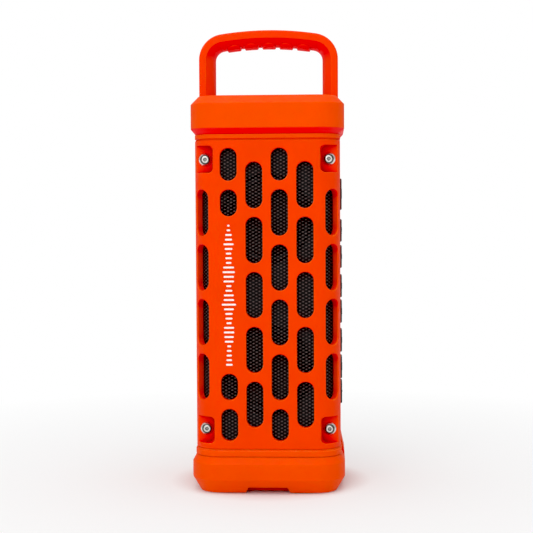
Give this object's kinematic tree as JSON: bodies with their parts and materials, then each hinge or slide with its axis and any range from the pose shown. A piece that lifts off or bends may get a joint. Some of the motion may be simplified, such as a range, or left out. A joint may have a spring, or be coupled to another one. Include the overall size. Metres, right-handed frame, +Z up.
{
  "type": "portable bluetooth speaker",
  "caption": "Rugged square-column portable wireless speaker with a fixed carrying handle, slotted grilles over metal mesh, bumper caps, side keys and a hinged port door.",
  "frame": {"origin": "centre of the base, at the underside of the base pad", "axes": "+Z up along the column, the front grille faces -Y, the keys face +X"},
  "size_m": [0.102, 0.102, 0.3092],
  "materials": {
    "basket_black": "powder-coated",
    "bumper_orange": "satin moulded bumper plastic",
    "capacitor_can": "sleeved can",
    "cell_wrap": "shrink sleeve",
    "circuit_board": "solder resist",
    "coil_copper": "enamelled copper wire",
    "cone_paper": "coated paper",
    "core_black": "matt black moulding",
    "door_orange": "matt soft rubber",
    "handle_orange": "satin moulded grip plastic",
    "heat_sink": "extruded",
    "jack_black": "moulded",
    "key_rubber": "matt rubber",
    "lead_sleeve": "insulated wire",
    "light_pipe": "clear light pipe",
    "magnet_ferrite": "sintered ferrite",
    "membrane_silicone": "silicone",
    "mesh_steel": "powder-coated expanded steel",
    "pad_rubber": "matt rubber",
    "passive_alloy": "anodised plate",
    "screw_stainless": "turned stainless",
    "screw_steel": "zinc plated",
    "shell_orange": "satin moulded hard plastic",
    "spider_cloth": "resin-treated cloth",
    "surround_rubber": "soft rubber",
    "tin_plate": "tinned",
    "yoke_steel": "zinc plated"
  },
  "bodies": {
    "housing": {"aux_jack": "jack_black", "base_pad": "pad_rubber", "base_screws": "screw_steel", "battery_cells": "cell_wrap", "battery_holder": "core_black", "bottom_cap": "bumper_orange", "cap_screws": "screw_steel", "capacitors": "capacitor_can", "charge_board": "circuit_board", "charge_lights": "light_pipe", "control_panel": "shell_orange", "core_housing": "core_black", "core_lid": "core_black", "driver_magnets": "magnet_ferrite", "driver_screws": "screw_steel", "driver_spiders": "spider_cloth", "driver_yokes": "yoke_steel", "front_grille": "shell_orange", "front_mesh": "mesh_steel", "grille_screws": "screw_stainless", "handle": "handle_orange", "handle_screws": "screw_steel", "heat_sink": "heat_sink", "hinge_pin": "screw_steel", "key_board": "circuit_board", "key_membrane": "membrane_silicone", "key_switches": "screw_steel", "lower_basket": "basket_black", "lower_collar": "bumper_orange", "lower_seal": "pad_rubber", "lower_surround": "surround_rubber", "main_board": "circuit_board", "passive_frame": "core_black", "passive_surround": "surround_rubber", "port_bay": "core_black", "rear_grille": "shell_orange", "rear_mesh": "mesh_steel", "shield_can": "tin_plate", "side_panel": "shell_orange", "speaker_leads": "lead_sleeve", "top_cap": "bumper_orange", "upper_basket": "basket_black", "upper_collar": "bumper_orange", "upper_seal": "pad_rubber", "upper_surround": "surround_rubber", "usb_socket": "tin_plate"},
    "key_1": {"key_1": "key_rubber"},
    "key_2": {"key_2": "key_rubber"},
    "key_3": {"key_3": "key_rubber"},
    "key_4": {"key_4": "key_rubber"},
    "key_5": {"key_5": "key_rubber"},
    "key_6": {"key_6": "key_rubber"},
    "key_7": {"key_7": "key_rubber"},
    "key_8": {"key_8": "key_rubber"},
    "port_door": {"port_door": "door_orange"},
    "lower_cone": {"lower_cone": "cone_paper", "lower_voice_coil": "coil_copper"},
    "upper_cone": {"upper_cone": "cone_paper", "upper_voice_coil": "coil_copper"},
    "passive_plate": {"passive_plate": "passive_alloy"}
  },
  "joints": [
    {"name": "key_1_press", "type": "slide", "parent": "housing", "child": "key_1", "axis": [-1, 0, 0], "range_m": [0, 0.0005], "stiffness_N_per_m": 1500},
    {"name": "key_2_press", "type": "slide", "parent": "housing", "child": "key_2", "axis": [-1, 0, 0], "range_m": [0, 0.0005], "stiffness_N_per_m": 1500},
    {"name": "key_3_press", "type": "slide", "parent": "housing", "child": "key_3", "axis": [-1, 0, 0], "range_m": [0, 0.0005], "stiffness_N_per_m": 1500},
    {"name": "key_4_press", "type": "slide", "parent": "housing", "child": "key_4", "axis": [-1, 0, 0], "range_m": [0, 0.0005], "stiffness_N_per_m": 1500},
    {"name": "key_5_press", "type": "slide", "parent": "housing", "child": "key_5", "axis": [-1, 0, 0], "range_m": [0, 0.0005], "stiffness_N_per_m": 1500},
    {"name": "key_6_press", "type": "slide", "parent": "housing", "child": "key_6", "axis": [-1, 0, 0], "range_m": [0, 0.0005], "stiffness_N_per_m": 1500},
    {"name": "key_7_press", "type": "slide", "parent": "housing", "child": "key_7", "axis": [-1, 0, 0], "range_m": [0, 0.0005], "stiffness_N_per_m": 1500},
    {"name": "key_8_press", "type": "slide", "parent": "housing", "child": "key_8", "axis": [-1, 0, 0], "range_m": [0, 0.0005], "stiffness_N_per_m": 1500},
    {"name": "port_door_hinge", "type": "hinge", "parent": "housing", "child": "port_door", "pos_m": [-0.0472, 0, 0.065], "axis": [0, 1, 0], "range_deg": [0, 90]},
    {"name": "lower_cone_stroke", "type": "slide", "parent": "housing", "child": "lower_cone", "axis": [0, -1, 0], "range_m": [-0.002, 0.002], "stiffness_N_per_m": 1200},
    {"name": "upper_cone_stroke", "type": "slide", "parent": "housing", "child": "upper_cone", "axis": [0, -1, 0], "range_m": [-0.002, 0.002], "stiffness_N_per_m": 1200},
    {"name": "passive_stroke", "type": "slide", "parent": "housing", "child": "passive_plate", "axis": [0, 1, 0], "range_m": [-0.002, 0.002], "stiffness_N_per_m": 1500}
  ]
}
